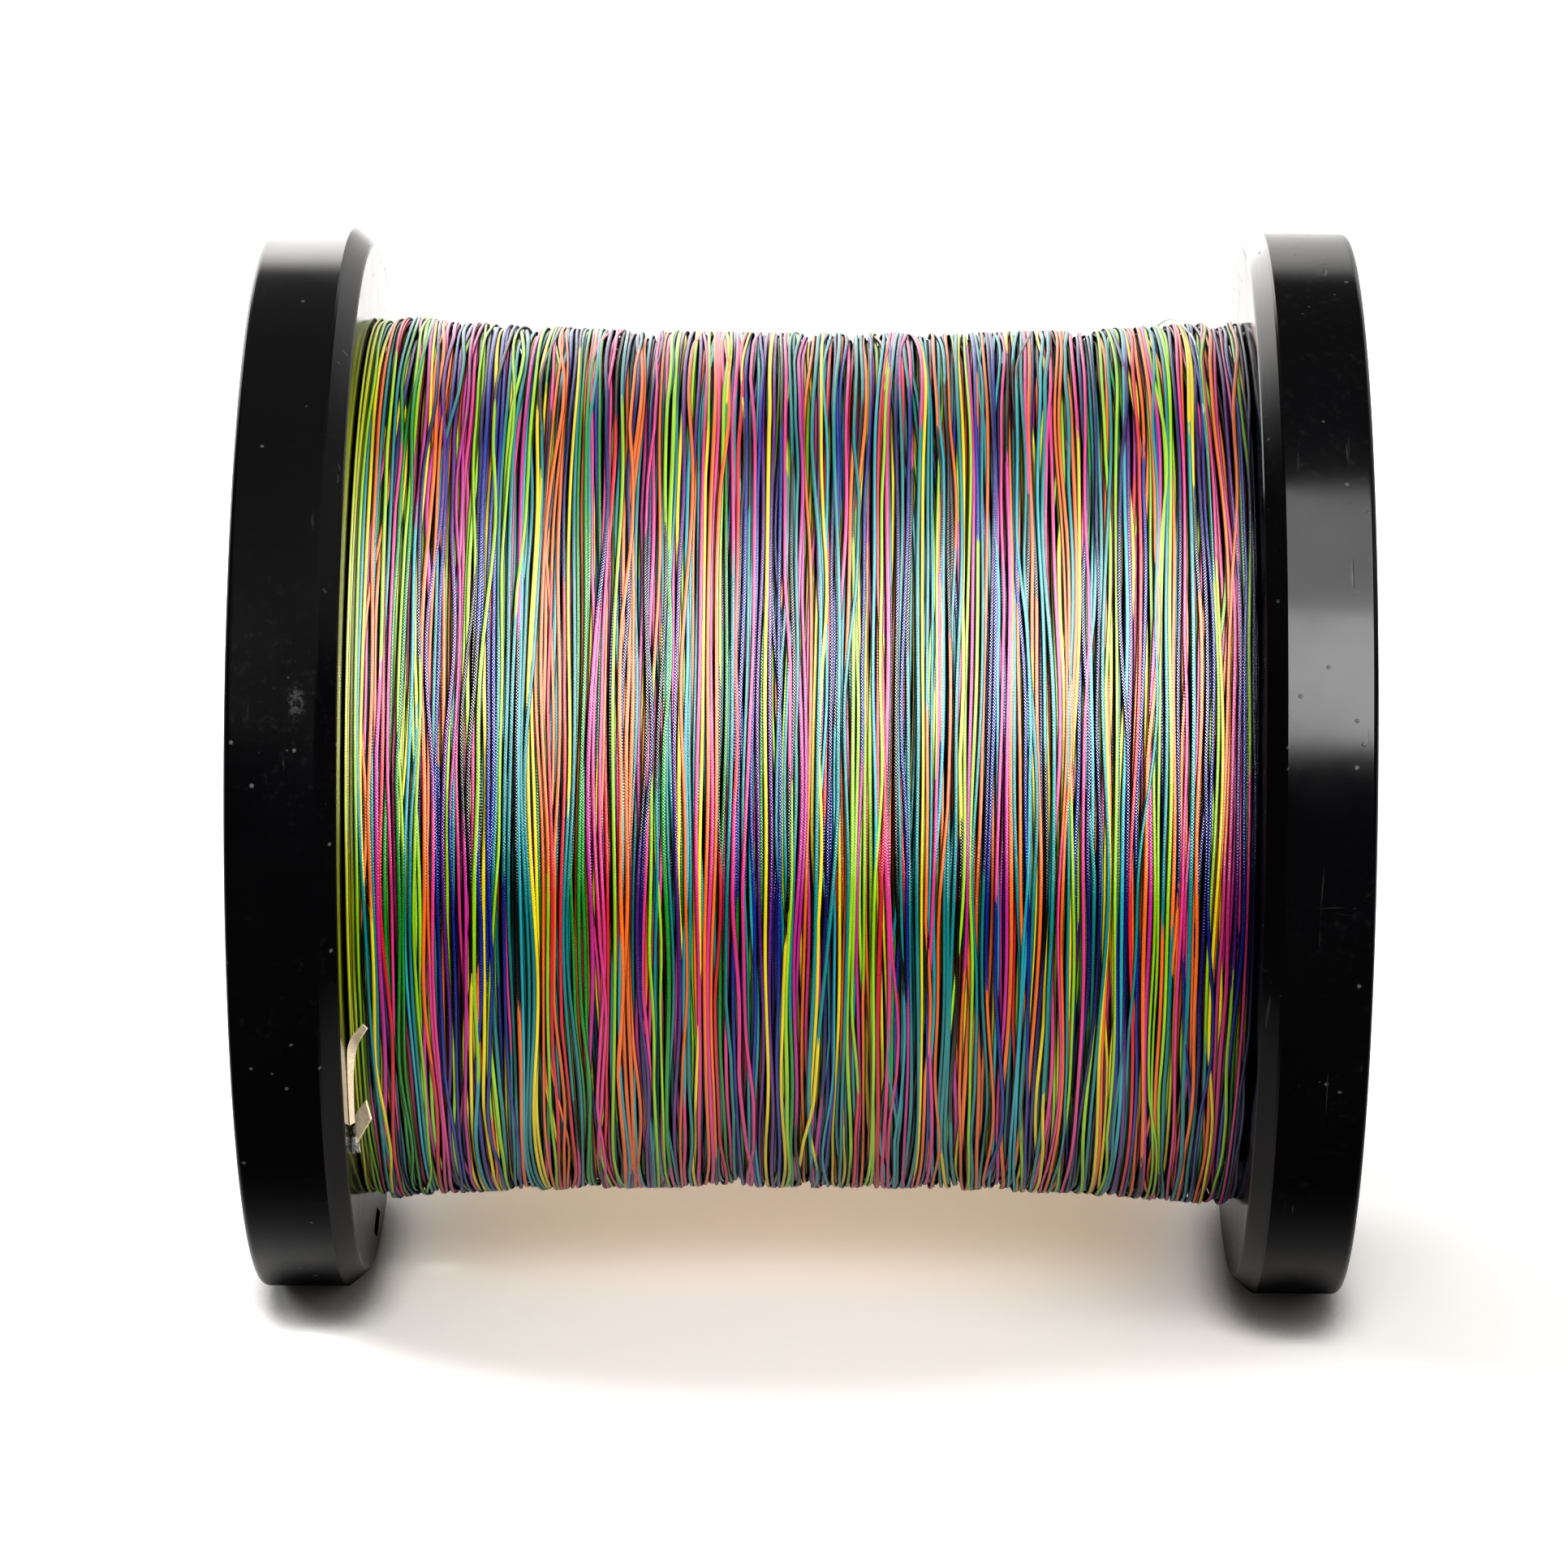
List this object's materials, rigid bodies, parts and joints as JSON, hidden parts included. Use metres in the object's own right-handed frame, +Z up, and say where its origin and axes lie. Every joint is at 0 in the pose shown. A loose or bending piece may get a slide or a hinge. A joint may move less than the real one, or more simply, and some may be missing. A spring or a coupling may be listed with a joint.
{
  "type": "fishing line spool",
  "caption": "Bulk delivery spool of multicolour braided fishing line: ribbed black flanges on a barrel with a spindle bore, line end held by a tape tab.",
  "frame": {"origin": "centre of the spool, on the axis of the spindle bore, halfway between the flanges", "axes": "+X along the spindle bore towards the right flange, +Z up, -Y the front, where the tape tab is"},
  "size_m": [0.1264, 0.125, 0.125],
  "materials": {
    "flange_plastic": "moulded black plastic, glossy inner faces, satin rims",
    "barrel_plastic": "moulded black plastic, matte",
    "braid": "multicolour braided polyethylene line with a waxy sheen",
    "frayed_fibre": "loose pale fibres",
    "tape": "crepe masking tape, cream"
  },
  "bodies": {
    "root": {"left_flange": "flange_plastic", "right_flange": "flange_plastic", "barrel": "barrel_plastic", "axle_tube": "barrel_plastic", "start_tape": "tape", "inner_winding": "braid", "outer_winding": "braid", "end_tape": "tape", "line_end": "braid", "frayed_tip": "frayed_fibre", "stray_loop": "braid"}
  },
  "joints": []
}
